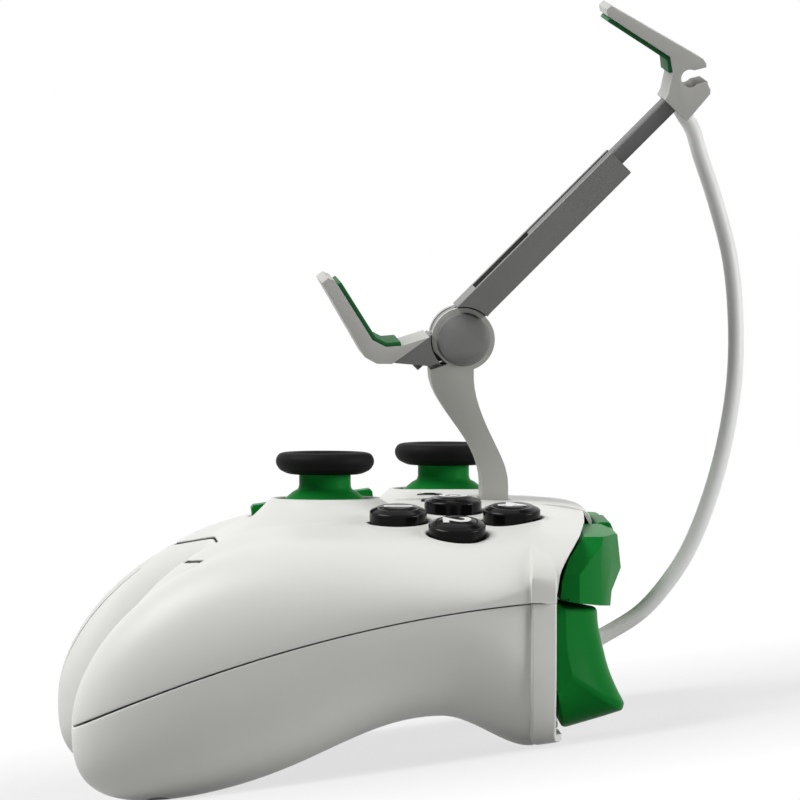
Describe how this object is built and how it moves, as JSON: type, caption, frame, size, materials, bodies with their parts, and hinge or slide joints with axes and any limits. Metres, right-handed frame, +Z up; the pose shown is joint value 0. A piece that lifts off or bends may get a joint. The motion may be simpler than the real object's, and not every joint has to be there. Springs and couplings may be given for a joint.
{
  "type": "mobile game controller",
  "caption": "Two-grip game controller with thumbsticks, direction pad, buttons, bumpers and triggers, and a tilting spring-type phone clamp on a curved arm with a cable.",
  "frame": {"origin": "middle of the object's bounding box in plan, on the table it stands on", "axes": "+X to the player's right, +Y from the player to the triggers, +Z up; the gamepad stands on its grips and its rear edge"},
  "size_m": [0.15, 0.1471, 0.1419],
  "materials": {
    "white_plastic": "fine satin",
    "green_plastic": "gloss",
    "black_rubber": "matte",
    "green_rubber": "matte",
    "black_gloss": "gloss",
    "light_grey_plastic": "satin",
    "mid_grey_plastic": "satin",
    "dark_grey_plastic": "satin",
    "cable_rubber": "satin",
    "board": "satin",
    "membrane_rubber": "matte",
    "steel": "brushed"
  },
  "bodies": {
    "gamepad": {"top_shell": "white_plastic", "bottom_shell": "white_plastic", "shell_screws": "steel", "main_board": "board", "board_screws": "steel", "button_membrane": "membrane_rubber", "left_stick_module": "dark_grey_plastic", "right_stick_module": "dark_grey_plastic", "bumper_bridge": "green_plastic", "bumper_pins": "steel", "trigger_pins": "steel", "arm": "light_grey_plastic", "arm_screw": "steel", "hinge_pin": "steel", "hinge_caps": "light_grey_plastic", "cable_boot": "cable_rubber", "cable_lower": "cable_rubber"},
    "clamp": {"bracket": "mid_grey_plastic", "lower_jaw": "light_grey_plastic", "lower_jaw_pad": "green_rubber", "jaw_screws": "steel", "cable_upper": "cable_rubber"},
    "sliding_jaw": {"rail": "dark_grey_plastic", "upper_jaw": "light_grey_plastic", "upper_jaw_pad": "green_rubber"},
    "dpad_pivot": {"dpad_rocker": "steel"},
    "dpad": {"dpad": "green_plastic"},
    "left_yoke": {"left_stick_yoke": "light_grey_plastic"},
    "left_lever": {"left_stick_lever": "steel"},
    "left_stick": {"left_stick_column": "green_plastic", "left_stick_cap": "black_rubber"},
    "left_bumper": {"left_bumper": "green_plastic"},
    "left_trigger": {"left_trigger": "green_plastic"},
    "right_yoke": {"right_stick_yoke": "light_grey_plastic"},
    "right_lever": {"right_stick_lever": "steel"},
    "right_stick": {"right_stick_column": "green_plastic", "right_stick_cap": "black_rubber"},
    "right_bumper": {"right_bumper": "green_plastic"},
    "right_trigger": {"right_trigger": "green_plastic"},
    "button_right": {"button_right": "black_gloss"},
    "button_rear": {"button_rear": "black_gloss"},
    "button_left": {"button_left": "black_gloss"},
    "button_front": {"button_front": "black_gloss"},
    "view_button": {"view_button": "black_gloss"},
    "menu_button": {"menu_button": "black_gloss"},
    "home_button": {"home_button": "white_plastic"}
  },
  "joints": [
    {"name": "clamp_tilt", "type": "hinge", "parent": "gamepad", "child": "clamp", "pos_m": [0, 0.01702, 0.07982], "axis": [1, 0, 0], "range_deg": [-45, 5], "deforming": ["cable_lower", "cable_upper"]},
    {"name": "jaw_slide", "type": "slide", "parent": "clamp", "child": "sliding_jaw", "axis": [0, 0.8018, 0.5976], "range_m": [-0.014, 0.009], "deforming": ["cable_upper"]},
    {"name": "left_stick_pitch", "type": "hinge", "parent": "gamepad", "child": "left_yoke", "pos_m": [-0.042, 0.00926, 0.04114], "axis": [1, 0, 0], "range_deg": [-18, 18], "stiffness_Nm_per_rad": 0.02},
    {"name": "left_stick_roll", "type": "hinge", "parent": "left_yoke", "child": "left_lever", "pos_m": [-0.042, 0.00926, 0.04114], "axis": [0, 0.9895, -0.1444], "range_deg": [-18, 18], "stiffness_Nm_per_rad": 0.02},
    {"name": "left_stick_press", "type": "slide", "parent": "left_lever", "child": "left_stick", "axis": [0, -0.1444, -0.9895], "range_m": [0, 0.0005], "stiffness_N_per_m": 900},
    {"name": "right_stick_pitch", "type": "hinge", "parent": "gamepad", "child": "right_yoke", "pos_m": [0.022, -0.01625, 0.04567], "axis": [1, 0, 0], "range_deg": [-18, 18], "stiffness_Nm_per_rad": 0.02},
    {"name": "right_stick_roll", "type": "hinge", "parent": "right_yoke", "child": "right_lever", "pos_m": [0.022, -0.01625, 0.04567], "axis": [0, 0.9895, -0.1444], "range_deg": [-18, 18], "stiffness_Nm_per_rad": 0.02},
    {"name": "right_stick_press", "type": "slide", "parent": "right_lever", "child": "right_stick", "axis": [0, -0.1444, -0.9895], "range_m": [0, 0.0005], "stiffness_N_per_m": 900},
    {"name": "dpad_pitch", "type": "hinge", "parent": "gamepad", "child": "dpad_pivot", "pos_m": [-0.022, -0.01683, 0.04656], "axis": [1, 0, 0], "range_deg": [-5, 5], "stiffness_Nm_per_rad": 0.05},
    {"name": "dpad_roll", "type": "hinge", "parent": "dpad_pivot", "child": "dpad", "pos_m": [-0.022, -0.01683, 0.04656], "axis": [0, 1, -0.0052], "range_deg": [-5, 5], "stiffness_Nm_per_rad": 0.05},
    {"name": "button_right_press", "type": "slide", "parent": "gamepad", "child": "button_right", "axis": [-0.2419, -0.1401, -0.9601], "range_m": [0, 0.0015], "stiffness_N_per_m": 400},
    {"name": "button_rear_press", "type": "slide", "parent": "gamepad", "child": "button_rear", "axis": [-0.1564, -0.1426, -0.9773], "range_m": [0, 0.0015], "stiffness_N_per_m": 400},
    {"name": "button_left_press", "type": "slide", "parent": "gamepad", "child": "button_left", "axis": [-0.0698, -0.144, -0.9871], "range_m": [0, 0.0015], "stiffness_N_per_m": 400},
    {"name": "button_front_press", "type": "slide", "parent": "gamepad", "child": "button_front", "axis": [-0.1564, -0.1426, -0.9773], "range_m": [0, 0.0015], "stiffness_N_per_m": 400},
    {"name": "view_button_press", "type": "slide", "parent": "gamepad", "child": "view_button", "axis": [0, -0.1444, -0.9895], "range_m": [0, 0.0008], "stiffness_N_per_m": 600},
    {"name": "menu_button_press", "type": "slide", "parent": "gamepad", "child": "menu_button", "axis": [0, -0.1444, -0.9895], "range_m": [0, 0.0008], "stiffness_N_per_m": 600},
    {"name": "home_button_press", "type": "slide", "parent": "gamepad", "child": "home_button", "axis": [0, -0.1444, -0.9895], "range_m": [0, 0.0008], "stiffness_N_per_m": 600},
    {"name": "left_bumper_press", "type": "hinge", "parent": "gamepad", "child": "left_bumper", "pos_m": [-0.021, 0.02663, 0.03345], "axis": [0, 0.1444, 0.9895], "range_deg": [0, 1], "stiffness_Nm_per_rad": 20},
    {"name": "left_trigger_pull", "type": "hinge", "parent": "gamepad", "child": "left_trigger", "pos_m": [-0.051, 0.02201, 0.02604], "axis": [-1, 0, 0], "range_deg": [0, 9], "stiffness_Nm_per_rad": 0.4},
    {"name": "right_bumper_press", "type": "hinge", "parent": "gamepad", "child": "right_bumper", "pos_m": [0.021, 0.02663, 0.03345], "axis": [0, -0.1444, -0.9895], "range_deg": [0, 1], "stiffness_Nm_per_rad": 20},
    {"name": "right_trigger_pull", "type": "hinge", "parent": "gamepad", "child": "right_trigger", "pos_m": [0.051, 0.02201, 0.02604], "axis": [-1, 0, 0], "range_deg": [0, 9], "stiffness_Nm_per_rad": 0.4}
  ]
}
